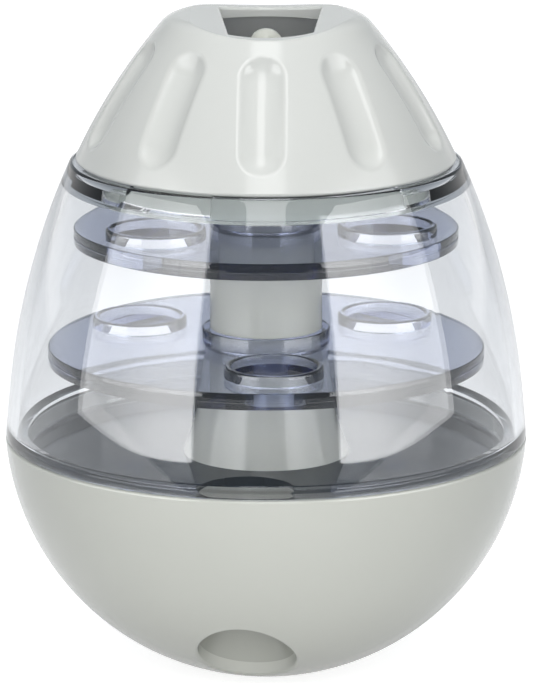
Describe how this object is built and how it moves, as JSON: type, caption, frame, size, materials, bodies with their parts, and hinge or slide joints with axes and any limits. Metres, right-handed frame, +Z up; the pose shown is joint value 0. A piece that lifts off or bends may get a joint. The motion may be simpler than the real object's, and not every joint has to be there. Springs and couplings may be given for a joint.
{
  "type": "wobble treat dispenser",
  "caption": "Weighted egg that rolls upright and drops treats, with a clear chamber, turning shelves on a column, a fluted cap with a fill slot and an exit hole in the bowl.",
  "frame": {"origin": "centre of the small flat under the bowl", "axes": "+Z up along the egg's axis, -Y towards the front, where the exit hole is, +X to the right as seen from the front"},
  "size_m": [0.1278, 0.1278, 0.1633],
  "materials": {
    "shell_plastic": "glossy moulded ABS, warm light grey",
    "column_plastic": "glossy moulded ABS, warm light grey",
    "clear_plastic": "clear moulded styrene plastic with a faint blue tint",
    "steel_weight": "turned steel ring",
    "screw_steel": "zinc-plated screw"
  },
  "bodies": {
    "base": {"base_shell": "shell_plastic", "exit_tube": "shell_plastic", "counterweight": "steel_weight", "weight_screws": "screw_steel", "floor_disc": "clear_plastic", "centre_column": "column_plastic", "column_screw": "screw_steel", "column_head": "column_plastic"},
    "lower_shelf": {"lower_shelf": "clear_plastic"},
    "upper_shelf": {"upper_shelf": "clear_plastic"},
    "clear_body": {"clear_body": "clear_plastic"},
    "cap": {"cap": "shell_plastic", "lock_ring": "shell_plastic"}
  },
  "joints": [
    {"name": "lower_shelf_turn", "type": "hinge", "parent": "base", "child": "lower_shelf", "pos_m": [0, 0, 0.0806], "axis": [0, 0, 1], "continuous": true},
    {"name": "upper_shelf_turn", "type": "hinge", "parent": "base", "child": "upper_shelf", "pos_m": [0, 0, 0.11], "axis": [0, 0, 1], "continuous": true},
    {"name": "chamber_twist", "type": "hinge", "parent": "base", "child": "clear_body", "pos_m": [0, 0, 0.0595], "axis": [0, 0, 1], "range_deg": [0, 31]},
    {"name": "cap_twist", "type": "hinge", "parent": "clear_body", "child": "cap", "pos_m": [0, 0, 0.1277], "axis": [0, 0, 1], "range_deg": [0, 31]}
  ]
}
